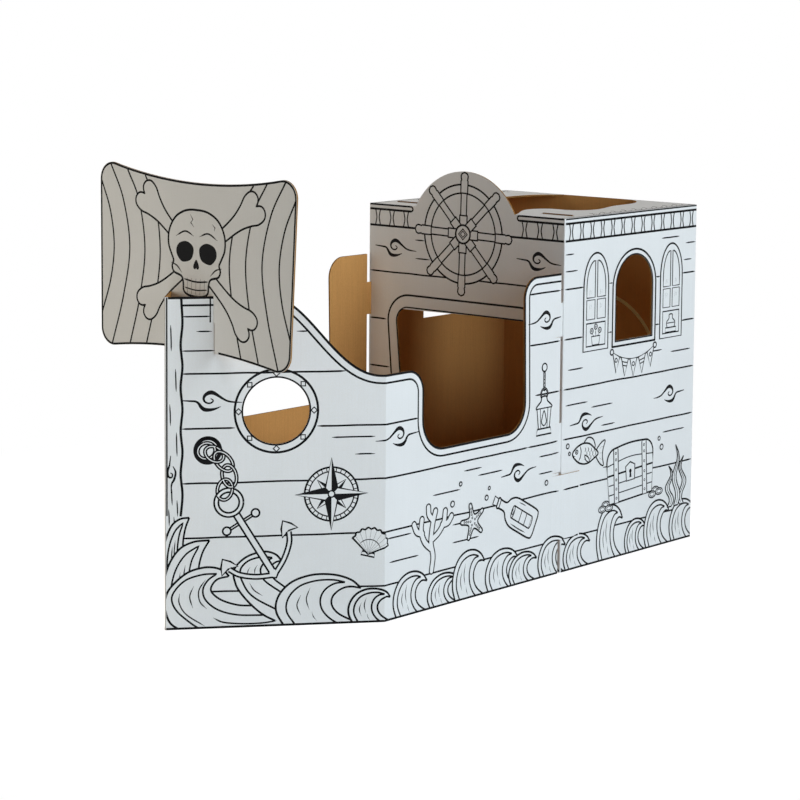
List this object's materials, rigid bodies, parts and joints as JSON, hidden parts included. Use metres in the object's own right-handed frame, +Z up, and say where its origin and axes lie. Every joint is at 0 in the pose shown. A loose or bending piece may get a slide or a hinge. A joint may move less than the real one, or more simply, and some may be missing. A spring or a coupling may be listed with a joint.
{
  "type": "cardboard play ship",
  "caption": "Walk-in play ship folded from white card, with a pointed bow, a square sail on the bow, a tall cabin with doorways and windows, and a ship's wheel.",
  "frame": {"origin": "on the floor, in the middle of the ship's length and width", "axes": "+X towards the stern, +Y towards starboard, +Z up"},
  "size_m": [1.6462, 0.648, 1.0494],
  "materials": {
    "card": "matte white facing with thin black line print, brown inside"
  },
  "bodies": {
    "root": {"hull": "card", "cabin_front": "card", "cabin_port": "card", "cabin_starboard": "card", "cabin_stern": "card", "cabin_top_port": "card", "cabin_top_starboard": "card", "sail": "card"}
  },
  "joints": []
}
